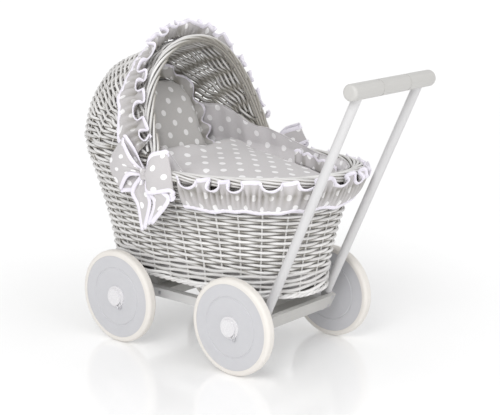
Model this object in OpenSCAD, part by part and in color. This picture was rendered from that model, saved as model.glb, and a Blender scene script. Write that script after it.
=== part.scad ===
// Wicker doll pram: a woven willow basket with a fixed hood on a wooden
// chassis with four disc wheels and a push handle, and its bedding set.
// Millimetres, +X towards the push handle, +Z up, wheels standing on z = 0,
// origin below the middle of the whole length.

/* [Wheels] */
// Outer diameter of the rubber tyre
wheel_d = 170; // [150:1:180]
// Distance between the front and the rear axle
wheelbase = 271; // [250:1:290]
// Distance between the middle planes of the left and right wheels
track = 278; // [270:1:300]
// Width of the rubber tyre
tyre_w = 19; // [16:0.5:22]
// Height of the tyre's section above the wooden disc
tyre_h = 9.5; // [8:0.5:12]
// Thickness of the wooden disc
disc_w = 17; // [14:0.5:18]
// Diameter of the steel axle
axle_d = 8; // [7:0.5:9]

/* [Chassis] */
// Height of the rails' top above the floor
deck_z = 93.5; // [92:0.5:96]
// Width of a rail
rail_w = 15; // [14:0.5:18]
// Height of a rail, and thickness of the cross boards
rail_h = 16; // [15:0.5:18]
// Distance between the outer faces of the rails
chassis_w = 160; // [150:1:165]
// Front end of the rails, measured from the middle between the axles
rail_front = 178; // [170:1:185]
// Rear end of the rails, measured from the middle between the axles
rail_rear = 172; // [170:1:180]

/* [Handle] */
// Lean of the handle bars away from the vertical, in degrees
lean = 24.65; // [22:0.05:27]
// Diameter of the round handle bars
bar_d = 16; // [15:0.5:18]
// Height of the middle of the grip above the floor
grip_z = 500; // [480:1:520]
// Diameter of the grip
grip_d = 27.4; // [25:0.1:29]
// Length of the grip
grip_len = 228; // [220:1:240]

/* [Basket] */
// Length of the basket at its foot
foot_len = 447; // [435:1:455]
// Width of the basket at its foot
foot_wid = 216; // [210:1:220]
// Length of the basket wall at its top
top_len = 561; // [555:1:565]
// Width of the basket wall at its top
top_wid = 312; // [308:1:314]
// Height of the basket's foot above the floor
foot_z = 124; // [122:1:126]
// Height of the rim above the floor, at the middle of the basket
rim_z = 338; // [330:1:345]
// Thickness of the woven wall
wall_t = 8; // [6:0.5:9]
// Width of the plaited rim
rim_w = 25; // [20:1:28]

/* [Hood] */
// Reach of the hood behind its pivot line
hood_reach = 286; // [282:1:290]
// Height of the hood's front arch above its pivot line
arch_reach = 193; // [185:1:200]
// Width of the hood's front arch, outside
arch_wid = 292; // [286:1:298]

/* [Bedding] */
// Thickness of the lining cloth with its wadding
lining_t = 3; // [2:0.5:4]
// Thickness of the foam mattress
mattress_t = 100; // [60:1:105]
// Height of the duvet's crown above the floor, at the middle of the basket
duvet_crown = 344; // [336:1:350]
// Width of the ruffle strip round the rim
ruffle_w = 60; // [50:1:62]
// Width of the ruffle strip over the hood
hood_ruffle_w = 50; // [40:1:56]

/* [Hidden] */

paint = [0.84, 0.83, 0.83];
willow = [0.86, 0.85, 0.83];
cloth = [0.78, 0.77, 0.77];
binding = [0.95, 0.94, 0.97];
rubber = [0.92, 0.90, 0.87];
disc_paint = [0.84, 0.84, 0.87];
white_plastic = [0.96, 0.95, 0.97];
steel = [0.72, 0.73, 0.75];

$fn = 64;
front = -1;
rear = 1;
left = -1;
right = 1;

// Wheels and axles
wheel_r = wheel_d / 2;
axle_r = axle_d / 2;
axle_x = wheelbase / 2;
axle_z = wheel_r;
disc_r = wheel_r - tyre_h;
hub_play = 0.06;                 // radial running clearance on the axle
barrel_r = 9;
barrel_in = 12;                  // barrel's reach inward from the wheel's middle plane
flange_r = 19.5;
flange_t = 2;
cap_r = 15;
cap_h = 5;
wire_r = 0.8;
flange_top = disc_w / 2 + flange_t;
clip_t = flange_top + 0.3 + wire_r;
neck_r = axle_r - 1;             // bottom of the axle's clip groove
axle_end = clip_t + wire_r + 0.9;
tread_round = 6;                 // rounding of the tyre's shoulders
spacer_r = 7;

// Chassis
rail_out = chassis_w / 2;
rail_in = rail_out - rail_w;
rail_bottom = deck_z - rail_h;
front_board_x = [-175, -80];
rear_board_x = [96, 170];
bearer_w = 24;
bearer_x = 125;
bearer_half = 62;
screw_r = 2;
screw_head_r = 3.5;
screw_head_h = 1.8;

// Handle: the bars' centre line in the XZ plane passes through bar_foot
bar_r = bar_d / 2;
bar_flat = 2.8;                  // depth of the flat where a bar sits on its rail
bar_y = rail_out - bar_flat + bar_r;
grip_r = grip_d / 2;
cross_x = 157.8;                 // where a bar's centre line crosses the rail's middle
cross_z = deck_z - rail_h / 2;
bar_dir = [sin(lean), 0, cos(lean)];
grip_x = cross_x + (grip_z - cross_z) * tan(lean);
bar_len = (grip_z - cross_z) / cos(lean);
bar_tail = 20;                   // bar below the crossing with the rail
apron_t = 7;
apron_low = -9;                  // apron's edges, along the bar from the crossing
apron_high = 19;

// Basket
flare = 1.5;                     // the wall leans out more towards its top
foot_power = 2.6;                // superellipse power of the basket's foot
top_power = 2.25;                // and of its top
wall_x0 = -18.5;
wall_x1 = -20.5;
rim_h = 12;
rim_x = -18.5;
rim_half_len = 278.5;
rim_half_wid = 157.5;
rim_end_x = -8;                  // where the plaited rim stops in front of the hood
foot_ring_r = 4;
shell_z = foot_z + 2 * foot_ring_r;
base_t = 6;
ring_steps = 64;

// Hood: ribs that fan out from a pivot line across the pram
pivot_x = -27;
pivot_z = 357;
rib_power = 2.15;
front_low = 66;                  // fan angle of the front arch at its feet
front_rise = 9;                  // and how much it grows to the top
side_wid = top_wid;
arch_border_w = 20;
arch_border_t = 16;
arch_border_e = -2;              // its middle, outward from the hood's outer face
hood_steps = 36;

// Bedding
lining_x = -18.5;
lining_foot = [214, 99];
lining_top = [265, 144.5];
mattress_z = foot_z + base_t + 4.5;
duvet_z = mattress_z + mattress_t + 1;

// The whole pram is shifted so that its bounding box is centred on x = 0
reach_min = pivot_x - hood_reach;
reach_max = grip_x + grip_r;
origin_shift = -(reach_min + reach_max) / 2;

// ---------- helpers ----------
function lerp(a, b, k) = a + (b - a) * k;
function spow(v, e) = sign(v) * pow(abs(v), e);
function unit(v) = v / norm(v);
function smooth(k) = let (c = min(1, max(0, k))) c * c * (3 - 2 * c);

// A superellipse's point at angle t
function oval(a, b, n, t) = [a * spow(cos(t), 2 / n), b * spow(sin(t), 2 / n)];

// Height of the rim's top: it climbs a little to the foot end and the head end
function rim_top(x) = rim_z + x / 100 + pow(x / 100, 2);
function wall_top(x) = rim_top(x) - rim_h;

// The basket wall: k runs from the foot (0) to the top (1), t goes round,
// e moves the point outward
function wall_pt(k, t, e = 0) =
    let (
        s = pow(k, flare),
        p = oval(lerp(foot_len, top_len, s) / 2 + e,
                 lerp(foot_wid, top_wid, s) / 2 + e, lerp(foot_power, top_power, s), t),
        x = lerp(wall_x0, wall_x1, s) + p[0]
    )
    [x, p[1], lerp(shell_z, wall_top(x), k)];

// The hood: a is the fan angle, v goes from the right foot over to the left
function hood_depth(a) =
    lookup(a, [[0, hood_reach], [15, hood_reach - 11], [30, hood_reach - 31],
               [45, arch_reach + 30], [60, arch_reach + 11], [75, arch_reach]]);
function rib_pt(a, v, e = 0) =
    let (
        r = (hood_depth(a) + e) * pow(sin(v), 2 / rib_power),
        w = lerp(side_wid, arch_wid, a / 75) / 2 + e
    )
    [pivot_x - r * cos(a), w * spow(cos(v), 2 / rib_power), pivot_z + r * sin(a)];
function front_angle(v) = front_low + front_rise * sin(v);
function arch_pt(v, e = 0) = rib_pt(front_angle(v), v, e);

// Solid between two sheets of points with equal rows; closed sheets go round
module sheet_solid(outer, inner, closed = false) {
    rows = len(outer);
    cols = len(outer[0]);
    pts = [for (s = [outer, inner], r = s, p = r) p];
    last = closed ? cols - 1 : cols - 2;
    function o(i, j) = i * cols + j % cols;
    function n(i, j) = rows * cols + o(i, j);
    function quad(a, b, c, d) = [[a, d, c], [a, c, b]];
    faces = [
        for (i = [0:rows - 2], j = [0:last])
            each concat(
                quad(o(i, j), o(i, j + 1), o(i + 1, j + 1), o(i + 1, j)),
                quad(n(i, j + 1), n(i, j), n(i + 1, j), n(i + 1, j + 1))),
        for (j = [0:last])
            each concat(
                quad(n(0, j), n(0, j + 1), o(0, j + 1), o(0, j)),
                quad(o(rows - 1, j), o(rows - 1, j + 1), n(rows - 1, j + 1), n(rows - 1, j))),
        if (!closed)
            for (i = [0:rows - 2])
                each concat(
                    quad(n(i, 0), o(i, 0), o(i + 1, 0), n(i + 1, 0)),
                    quad(o(i, cols - 1), n(i, cols - 1), n(i + 1, cols - 1), o(i + 1, cols - 1)))
    ];
    polyhedron(pts, faces);
}

// Solid through a stack of closed loops with flat ends
module loft(loops, flip = false) {
    rows = len(loops);
    cols = len(loops[0]);
    function o(i, j) = i * cols + j % cols;
    function tri(f) = flip ? [f[0], f[2], f[1]] : f;
    faces = [
        for (i = [0:rows - 2], j = [0:cols - 1])
            each [tri([o(i, j), o(i + 1, j), o(i + 1, j + 1)]),
                  tri([o(i, j), o(i + 1, j + 1), o(i, j + 1)])],
        for (j = [1:cols - 2]) tri([o(0, 0), o(0, j), o(0, j + 1)]),
        for (j = [1:cols - 2]) tri([o(rows - 1, 0), o(rows - 1, j + 1), o(rows - 1, j)])
    ];
    polyhedron([for (l = loops, p = l) p], faces);
}

// Everything is drawn about the middle between the axles and then shifted
module placed() {
    translate([origin_shift, 0, 0])
        children();
}

// A child drawn with its outward side along +Z is put on a wheel's place
module at_wheel(end, side) {
    placed()
        translate([end * axle_x, 0, axle_z])
            mirror([0, side > 0 ? 1 : 0, 0])
                translate([0, -track / 2, 0])
                    rotate([90, 0, 0])
                        children();
}

module box_between(low, high) {
    translate(low)
        cube(high - low);
}

// Screws lie along +Z with the head's top at z = 0
module screw(len) {
    translate([0, 0, -screw_head_h])
        cylinder(r = screw_head_r, h = screw_head_h);
    translate([0, 0, -len])
        cylinder(r = screw_r, h = len - screw_head_h + 0.1);
}

module screw_cut(len) {
    translate([0, 0, -screw_head_h - 0.1])
        cylinder(r = screw_head_r + 0.1, h = screw_head_h + 1);
    translate([0, 0, -len - 0.1])
        cylinder(r = screw_r + 0.1, h = len);
}

// ---------- chassis ----------
frame_screw_x = [-165, -92, 108, 147];
frame_screw_len = 26;
bearer_screw_y = [-40, 40];
bearer_screw_len = 30;
basket_screw_len = 24;

module at_frame_screws(side) {
    for (x = frame_screw_x)
        translate([x, side * rail_out, cross_z])
            rotate([side > 0 ? -90 : 90, 0, 0])
                children();
}

module at_bearer_screws() {
    for (x = [-bearer_x, bearer_x], y = bearer_screw_y)
        translate([x - sign(x) * 1, y, rail_bottom])
            rotate([180, 0, 0])
                children();
}

module at_basket_screws() {
    for (x = [-bearer_x, bearer_x], y = bearer_screw_y)
        translate([x, y * 0.6, foot_z + base_t])
            children();
}

module at_bar_screws(side) {
    translate([cross_x, side * (bar_y + bar_r), cross_z])
        rotate([side > 0 ? -90 : 90, 0, 0])
            children();
}

// Along a bar from its crossing with the rail, on its rear side
module on_bar_back(s, y) {
    translate([cross_x, 0, cross_z])
        rotate([0, lean, 0])
            translate([bar_r, y, s])
                rotate([0, 90, 0])
                    children();
}

bar_screw_len = 25;
apron_screw_len = 16;
apron_screw_at = [-5.5, 14];

module axle_cut() {
    for (x = [-axle_x, axle_x])
        translate([x, 0, axle_z])
            rotate([90, 0, 0])
                cylinder(r = axle_r + 0.1, h = chassis_w + 2, center = true);
}

// Everything behind the rear faces of the handle bars
module behind_bars() {
    translate([cross_x, 0, cross_z])
        rotate([0, lean, 0])
            translate([bar_r, -chassis_w, -chassis_w])
                cube(2 * chassis_w);
}

// Groove in a board's underside that clears the axle
module axle_groove(x) {
    groove_w = axle_d + 1;
    translate([x - groove_w / 2, -rail_in - 1, rail_bottom - 1])
        cube([groove_w, 2 * rail_in + 2, axle_z + axle_r + 1.5 - rail_bottom]);
}

module rail(side) {
    color(paint)
        placed()
            difference() {
                translate([(rail_rear - rail_front) / 2, side * (rail_out - rail_w / 2), cross_z])
                    cube([rail_front + rail_rear, rail_w, rail_h], center = true);
                axle_cut();
                behind_bars();
                at_frame_screws(side) screw_cut(frame_screw_len);
                at_bar_screws(side) screw_cut(bar_screw_len);
            }
}

module cross_board(span, x) {
    color(paint)
        placed()
            difference() {
                box_between([span[0], -rail_in, rail_bottom], [span[1], rail_in, deck_z]);
                axle_groove(x);
                behind_bars();
                for (side = [left, right])
                    at_frame_screws(side) screw_cut(frame_screw_len);
                at_bearer_screws() screw_cut(bearer_screw_len);
            }
}

module front_board() {
    cross_board(front_board_x, -axle_x);
}

module rear_board() {
    cross_board(rear_board_x, axle_x);
}

module rear_apron() {
    color(paint)
        placed()
            difference() {
                on_bar_back((apron_low + apron_high) / 2, 0)
                    translate([0, 0, apron_t / 2])
                        cube([apron_high - apron_low, 2 * (bar_y + bar_r), apron_t], center = true);
                apron_screw_places() screw_cut(apron_screw_len);
            }
}

module apron_screw_places() {
    for (y = [-bar_y, bar_y], s = apron_screw_at)
        on_bar_back(s, y)
            translate([0, 0, apron_t])
                children();
}

module bearer(x) {
    color(paint)
        placed()
            difference() {
                box_between([x - bearer_w / 2, -bearer_half, deck_z],
                            [x + bearer_w / 2, bearer_half, foot_z]);
                at_bearer_screws() screw_cut(bearer_screw_len);
                at_basket_screws() screw_cut(basket_screw_len);
            }
}

module front_bearer() {
    bearer(-bearer_x);
}

module rear_bearer() {
    bearer(bearer_x);
}

module frame_screws() {
    color(steel)
        placed()
            for (side = [left, right])
                at_frame_screws(side) screw(frame_screw_len);
}

module bearer_screws() {
    color(steel)
        placed()
            at_bearer_screws() screw(bearer_screw_len);
}

// A plain rod with a clip groove and a small chamfer near each end
module axle(x) {
    half = track / 2 + axle_end;
    groove = track / 2 + clip_t;
    groove_half = wire_r + 0.2;
    side_profile = [
        [0, half], [axle_r - 0.6, half], [axle_r, half - 0.6],
        [axle_r, groove + groove_half], [neck_r, groove + groove_half],
        [neck_r, groove - groove_half], [axle_r, groove - groove_half]
    ];
    lower = [for (i = [len(side_profile) - 1:-1:0]) [side_profile[i][0], -side_profile[i][1]]];
    color(steel)
        placed()
            translate([x, 0, axle_z])
                rotate([90, 0, 0])
                    rotate_extrude()
                        polygon(concat(side_profile, lower));
}

module front_axle() {
    axle(-axle_x);
}

module rear_axle() {
    axle(axle_x);
}

// Plastic tubes that keep the wheels off the rails
module axle_spacers() {
    inner = rail_out + 0.3;
    outer = track / 2 - barrel_in - 0.3;
    color(white_plastic)
        placed()
            for (x = [-axle_x, axle_x], side = [left, right])
                translate([x, side * (inner + outer) / 2, axle_z])
                    rotate([90, 0, 0])
                        difference() {
                            cylinder(r = spacer_r, h = outer - inner, center = true);
                            cylinder(r = axle_r + 0.2, h = outer, center = true);
                        }
}

// ---------- handle ----------
pin_r = 4;
pin_len = 40;

module grip_shape() {
    translate([grip_x, 0, grip_z])
        rotate([90, 0, 0])
            cylinder(r = grip_r, h = grip_len, center = true);
}

module at_grip_pins() {
    for (y = [-bar_y, bar_y])
        translate([grip_x, y, grip_z])
            rotate([0, lean, 0])
                translate([0, 0, -pin_len - 3])
                    children();
}

// The flat on a bar's inner side, where it is let in against the rail
module bar_seat(side) {
    seat_top = 18;
    translate([cross_x, side * (rail_out - rail_w), cross_z])
        rotate([0, lean, 0])
            translate([0, 0, (seat_top - bar_tail) / 2])
                cube([3 * bar_r, 2 * rail_w, seat_top + bar_tail + 2], center = true);
}

module bar(side) {
    color(paint)
        placed()
            difference() {
                translate([cross_x, side * bar_y, cross_z])
                    rotate([0, lean, 0])
                        translate([0, 0, -bar_tail])
                            cylinder(r = bar_r, h = bar_len + bar_tail);
                grip_shape();
                bar_seat(side);
                at_grip_pins() cylinder(r = pin_r + 0.1, h = pin_len + 10);
                at_bar_screws(side) screw_cut(bar_screw_len);
                apron_screw_places() screw_cut(apron_screw_len);
            }
}

// A turned dowel with round ends and two shallow turned bands
module grip() {
    end_r = 5;
    band_y = grip_len / 6;
    band_w = 3;
    band_d = 0.6;
    color(paint)
        placed()
            difference() {
                translate([grip_x, 0, grip_z])
                    rotate([90, 0, 0])
                        rotate_extrude()
                            difference() {
                                union() {
                                    translate([0, -grip_len / 2 + end_r])
                                        square([grip_r, grip_len - 2 * end_r]);
                                    translate([0, -grip_len / 2])
                                        square([grip_r - end_r, grip_len]);
                                    for (s = [-1, 1])
                                        translate([grip_r - end_r, s * (grip_len / 2 - end_r)])
                                            circle(end_r);
                                }
                                for (s = [-1, 1])
                                    translate([grip_r - band_d, s * band_y - band_w / 2])
                                        square([band_d + 1, band_w]);
                            }
                at_grip_pins() cylinder(r = pin_r + 0.1, h = pin_len + 3.1);
            }
}

module grip_pins() {
    color(willow)
        placed()
            at_grip_pins() translate([0, 0, 0.2]) cylinder(r = pin_r, h = pin_len + 2.8);
}

module bar_screws() {
    color(steel)
        placed()
            for (side = [left, right])
                at_bar_screws(side) screw(bar_screw_len);
}

module apron_screws() {
    color(steel)
        placed()
            apron_screw_places() screw(apron_screw_len);
}

// ---------- basket ----------
module basket_base() {
    edge = 2 * foot_ring_r - 1;
    color(willow)
        placed()
            difference() {
                translate([wall_x0, 0, foot_z])
                    linear_extrude(base_t)
                        polygon([for (i = [0:ring_steps - 1])
                            oval(foot_len / 2 - edge, foot_wid / 2 - edge, foot_power,
                                 i * 360 / ring_steps)]);
                at_basket_screws() screw_cut(basket_screw_len);
            }
}

module basket_screws() {
    color(steel)
        placed()
            at_basket_screws() screw(basket_screw_len);
}

module basket_shell() {
    rows = 9;
    function side(e) = [for (i = [0:rows]) [for (j = [0:ring_steps - 1])
        wall_pt(i / rows, j * 360 / ring_steps, e)]];
    color(willow)
        placed()
            sheet_solid(side(0), side(-wall_t), closed = true);
}

// A thick woven ring round the foot of the wall
module foot_ring() {
    sides = 8;
    function section(i) = [for (j = [0:sides - 1])
        let (
            a = 360 * (j + 0.5) / sides,
            e = foot_ring_r * cos(a) - foot_ring_r + 1,
            p = oval(foot_len / 2 + e, foot_wid / 2 + e, foot_power, i * 360 / ring_steps)
        )
        [wall_x0 + p[0], p[1], foot_z + foot_ring_r + foot_ring_r * sin(a)]];
    color(willow)
        placed()
            ring_solid([for (i = [0:ring_steps - 1]) section(i)]);
}

// A closed ring made of sections that follow each other round
module ring_solid(sections) {
    rows = len(sections);
    cols = len(sections[0]);
    function o(i, j) = (i % rows) * cols + j % cols;
    faces = [for (i = [0:rows - 1], j = [0:cols - 1])
        each [[o(i, j), o(i + 1, j + 1), o(i + 1, j)],
              [o(i, j), o(i, j + 1), o(i + 1, j + 1)]]];
    polyhedron([for (s = sections, p = s) p], faces);
}

function border_angle(x) =
    let (c = (x - rim_x) / rim_half_len) acos(spow(c, top_power / 2));

// Plaited border from one foot of the hood round the foot end to the other
module rim_border() {
    sides = 12;
    steps = 56;
    stop = border_angle(rim_end_x);
    sections = [for (i = [0:steps])
        let (t = lerp(-stop, stop, i / steps))
        [for (j = [0:sides - 1])
            let (
                a = 360 * j / sides,
                e = rim_w / 2 * spow(cos(a), 0.8),
                p = oval(rim_half_len + e, rim_half_wid + e, top_power, t),
                x = rim_x + p[0]
            )
            [x, p[1], rim_top(x) - rim_h / 2 + (rim_h / 2 - 0.2) * spow(sin(a), 0.8)]]];
    color(willow)
        placed()
            loft(sections, flip = true);
}

hood_start = 3.5;                // the hood's cloth of ribs starts this far round from its feet

// Fan angle where the hood's weave meets the arch border
function shell_front(v) =
    front_angle(v) - (arch_border_w / 2 + 0.5) / (arch_reach * pow(sin(v), 2 / rib_power)) * 180 / PI;

module hood_shell() {
    rows = 12;
    function v_at(j) = lerp(hood_start, 180 - hood_start, j / hood_steps);
    function wall_row(e) = [for (j = [0:hood_steps])
        let (
            p = oval(top_len / 2 + e, top_wid / 2 + e, top_power, 90 + v_at(j)),
            x = wall_x1 + p[0]
        )
        [x, p[1], wall_top(x) + 0.05]];
    function side(e) = concat([wall_row(e)],
        [for (i = [0:rows]) [for (j = [0:hood_steps])
            rib_pt(shell_front(v_at(j)) * i / rows, v_at(j), e)]]);
    color(willow)
        placed()
            sheet_solid(side(0), side(-wall_t));
}

// Plaited border over the hood's front arch, standing on the basket wall
module hood_border() {
    sides = 10;
    steps = 36;
    start = 3;
    foot_y = top_wid / 2 + arch_border_e;
    foot_x = -25;
    function frame(v) =
        let (
            c = arch_pt(v, arch_border_e),
            t = unit(arch_pt(v + 0.5) - arch_pt(v - 0.5)),
            n0 = unit(arch_pt(v, 1) - arch_pt(v)),
            w = unit(cross(t, n0))
        )
        [c, cross(w, t), w];
    function section(c, n, w) = [for (j = [0:sides - 1])
        c + arch_border_t / 2 * sin(360 * j / sides) * n
          + arch_border_w / 2 * cos(360 * j / sides) * w];
    function foot(side) =
        section([foot_x, side * foot_y, wall_top(foot_x) + 0.3], [0, side, 0], [-1, 0, 0]);
    arch = [for (i = [0:steps])
        let (f = frame(lerp(start, 180 - start, i / steps))) section(f[0], f[1], f[2])];
    color(willow)
        placed()
            loft(concat([foot(right)], arch, [foot(left)]), flip = true);
}

// ---------- bedding ----------
// How far the lining's upper edge stands above the rim
function lining_rise(x) =
    x < -32 ? 36 + 34 * smooth((-32 - x) / 90) : 36 * smooth((125 - x) / 157);

module lining() {
    function pt(k, t, e) =
        let (
            s = pow(min(1, k / rim_k), flare),
            up = max(0, k - rim_k) / (1 - rim_k),
            p = oval(lerp(lining_foot[0], lining_top[0], s) + e,
                     lerp(lining_foot[1], lining_top[1], s) + e, lerp(foot_power, top_power, s), t),
            x = lining_x + p[0],
            rise = lining_rise(x),
            edge = rim_top(x) - lining_drop,
            z = k < rim_k ? lerp(shell_z + lining_gap, edge, k / rim_k) : edge + rise * up
        )
        [x - end_lean * rise * up * sign(p[0]) * abs(cos(t)), p[1] * (1 - side_lean * rise * up), z];
    rim_k = 0.8;                 // share of the rows that stands below the rim
    lining_drop = 2;             // where it leaves the wall, below the rim's top
    lining_gap = 3;              // its lower edge, above the foot ring
    end_lean = 0.08;             // how far it leans in above the rim, at the ends
    side_lean = 0.002;           // and at the sides, as a share of its half width
    ks = [0, 0.2, 0.4, 0.6, rim_k, 0.9, 1];
    function side(e) = [for (k = ks) [for (j = [0:ring_steps - 1]) pt(k, j * 360 / ring_steps, e)]];
    color(cloth)
        placed()
            sheet_solid(side(0), side(-lining_t), closed = true);
}

// Superellipse loops that follow the inside of the lining at a height
function inside_loop(z, e, x_min = -400) =
    let (
        k = min(1, (z - shell_z) / (rim_z - shell_z)),
        s = pow(k, flare)
    )
    [for (j = [0:47])
        let (p = oval(lerp(lining_foot[0], lining_top[0], s) - lining_t - e,
                      lerp(lining_foot[1], lining_top[1], s) - lining_t - e,
                      lerp(foot_power, top_power, s), j * 7.5))
        [max(x_min, lining_x + p[0]), p[1], z]];

module mattress() {
    z0 = mattress_z;
    z1 = mattress_z + mattress_t;
    color(cloth)
        placed()
            loft([inside_loop(z0, 8), inside_loop(z0 + 5, 3), inside_loop(lerp(z0, z1, 0.5), 3),
                  inside_loop(z1 - 5, 3), inside_loop(z1, 9)]);
}

// A quilt that lies on the mattress, highest at the pillow and falling to the
// foot end; its head end lies against the pillow
module duvet() {
    fall = 0.1;                  // slope of its crown towards the foot end
    crown_x = -50;
    edge_drop = 26;              // its edge, below the crown
    foot_edge_z = duvet_crown - edge_drop - 20;
    mid_z = 272;
    function head_x(z) =
        pillow_foot[0] + (pillow_t / 2 + 1) / cos(pillow_lean) - (z - pillow_foot[1]) * tan(pillow_lean);
    function ring(k) = [for (p = inside_loop(foot_edge_z, 3))
        let (c = sqrt(1 - k * k), x = lerp(crown_x, max(head_x(foot_edge_z), p[0]), c))
        [x, p[1] * c, duvet_crown - fall * x - edge_drop * (1 - k)]];
    color(cloth)
        placed()
            loft([inside_loop(duvet_z, 10, head_x(duvet_z)), inside_loop(mid_z, 3, head_x(mid_z)),
                  for (k = [0, 0.2, 0.4, 0.58, 0.72, 0.84, 0.93, 0.98]) ring(k)]);
}

// The pillow leans on the back of the hood
pillow_foot = [-100, 262];       // x and z of the middle of its lower edge
pillow_lean = 22.3;
pillow_size = [168, 215];        // width and height
pillow_t = 60;
frill_w = 22;

module pillow_frame() {
    placed()
        translate([pillow_foot[0], 0, pillow_foot[1]])
            rotate([0, -pillow_lean, 0])
                children();
}

// Outline of the pillow in its own plane, grown by e
function pillow_outline(e) = [for (j = [0:35])
    let (p = oval(pillow_size[0] / 2 + e, pillow_size[1] / 2 + e, 3, j * 10))
    [p[0], p[1] + pillow_size[1] / 2]];

module pillow() {
    function layer(k) = [for (p = pillow_outline(-2))
        let (m = sqrt(1 - k * k) * 0.45 + 0.55)
        [k * pillow_t / 2, p[0] * m, (p[1] - pillow_size[1] / 2) * m + pillow_size[1] / 2]];
    color(cloth)
        pillow_frame()
            loft([for (k = [-0.98, -0.85, -0.5, 0, 0.5, 0.85, 0.98]) layer(k)]);
}

module pillow_frill() {
    half_t = 5;
    function at(e, h) = [for (p = pillow_outline(e)) [h, p[0], p[1]]];
    color(cloth)
        pillow_frame()
            ring_solid([for (j = [0:35])
                [at(0.5, -half_t)[j], at(frill_w, -half_t)[j], at(frill_w, half_t)[j], at(0.5, half_t)[j]]]);
}

ruffle_start_x = 33;             // the strip starts beside the bows

// Gathered strip round the outside of the basket just below the rim
module rim_ruffle() {
    low = rim_z - ruffle_w - 2;
    steps = 56;
    stop = border_angle(ruffle_start_x);
    function k_of(z) = (z - shell_z) / (rim_z - rim_h - shell_z);
    function row(z, e) = [for (i = [0:steps])
        let (
            t = lerp(-stop, stop, i / steps),
            p = wall_pt(min(1, k_of(z)), t, e)
        )
        [p[0], p[1], z + rim_top(p[0]) - rim_z]];
    function border_row(z, e) = [for (i = [0:steps])
        let (
            t = lerp(-stop, stop, i / steps),
            p = oval(rim_half_len + rim_w / 2 + e, rim_half_wid + rim_w / 2 + e, top_power, t),
            x = rim_x + p[0]
        )
        [x, p[1], z + rim_top(x) - rim_z]];
    z1 = rim_z - rim_h - 3;
    color(cloth)
        placed()
            sheet_solid(
                [row(low, 16), row((low + z1) / 2, 16), border_row(z1, 9), border_row(rim_z - 1, 9)],
                [row(low, 2), row((low + z1) / 2, 2), border_row(z1, 1), border_row(rim_z - 1, 1)]);
}

// Gathered strip over the hood just behind the arch border
module hood_ruffle() {
    steps = 36;
    start = 12;
    proud = 24;                  // how far the gathers stand out
    least_reach = 62;            // keeps the strip from fanning out at its feet
    function span(v) =
        hood_ruffle_w / max(least_reach, hood_depth(60) * pow(sin(v), 2 / rib_power)) * 180 / PI;
    function row(k, e) = [for (i = [0:steps])
        let (v = lerp(start, 180 - start, i / steps))
        rib_pt(shell_front(v) - 1 - span(v) * k, v, e)];
    color(cloth)
        placed()
            sheet_solid([for (k = [1, 0.66, 0.33, 0]) row(k, 10 + proud * (1 - pow(2 * k - 1, 2)))],
                        [for (k = [1, 0.66, 0.33, 0]) row(k, 1)]);
}

// A tied bow at a foot of the hood: two loops, a knot and two tails
module bow(side) {
    y0 = side * 170;
    module blob(points, r) {
        hull()
            for (p = points)
                translate([p[0], y0 + side * p[1], p[2]])
                    sphere(r, $fn = 16);
    }
    color(cloth)
        placed() {
            blob([[-32, 2, 331]], 10);
            blob([[-44, 0, 331], [-90, 0, 362], [-118, 0, 318], [-98, 0, 304]], 9);
            blob([[-22, 8, 331], [18, 10, 370], [31, 10, 350], [15, 10, 322], [-14, 10, 306]], 8.5);
            blob([[-40, -2, 312], [-68, -4, 285], [-44, -6, 236]], 6);
            blob([[-26, 8, 306], [6, 8, 294], [-26, 0, 252]], 6);
        }
}

module bow_left() {
    bow(left);
}

module bow_right() {
    bow(right);
}

module bar_left() {
    bar(left);
}

module bar_right() {
    bar(right);
}

module rail_left() {
    rail(left);
}

module rail_right() {
    rail(right);
}

// ---------- wheels, drawn with the outward side along +Z ----------
groove_r = 53;                   // radius of the turned line in the disc's faces

module disc() {
    color(disc_paint)
        rotate_extrude($fn = 128)
            difference() {
                translate([barrel_r, -disc_w / 2])
                    square([disc_r - barrel_r, disc_w]);
                for (s = [-1, 1])
                    translate([groove_r, s * (disc_w / 2 + 0.6)])
                        circle(1.6, $fn = 24);
            }
}

module tyre() {
    color(rubber)
        rotate_extrude($fn = 128)
            intersection() {
                translate([disc_r, -tyre_w / 2])
                    square([tyre_h, tyre_w]);
                union() {
                    translate([disc_r - 10, -tyre_w / 2])
                        square([tyre_h + 10 - tread_round, tyre_w]);
                    translate([disc_r - 10, -tyre_w / 2 + tread_round])
                        square([tyre_h + 10, tyre_w - 2 * tread_round]);
                    for (s = [-1, 1])
                        translate([wheel_r - tread_round, s * (tyre_w / 2 - tread_round)])
                            circle(tread_round);
                }
            }
}

module hub() {
    bore_r = axle_r + hub_play;
    color(white_plastic)
        difference() {
            union() {
                translate([0, 0, -barrel_in])
                    cylinder(r = barrel_r, h = barrel_in + flange_top);
                translate([0, 0, disc_w / 2])
                    cylinder(r = flange_r, h = flange_t);
            }
            translate([0, 0, -barrel_in - 1])
                cylinder(r = bore_r, h = barrel_in + flange_top + 2);
        }
}

clip_turn = -60;                 // the clip's loop points down and to the rear

module cap() {
    skin = 1.5;
    slot = 2 * (neck_r + 3 * wire_r) + 2;
    color(white_plastic)
        difference() {
            translate([0, 0, flange_top])
                cylinder(r = cap_r, h = cap_h);
            translate([0, 0, flange_top - 1])
                cylinder(r = cap_r - skin, h = cap_h - skin + 1);
            rotate([0, 0, clip_turn])
                translate([0, -slot / 2, flange_top - 1])
                    cube([cap_r + 1, slot, 2 * wire_r + 1.6]);
        }
}

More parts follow.
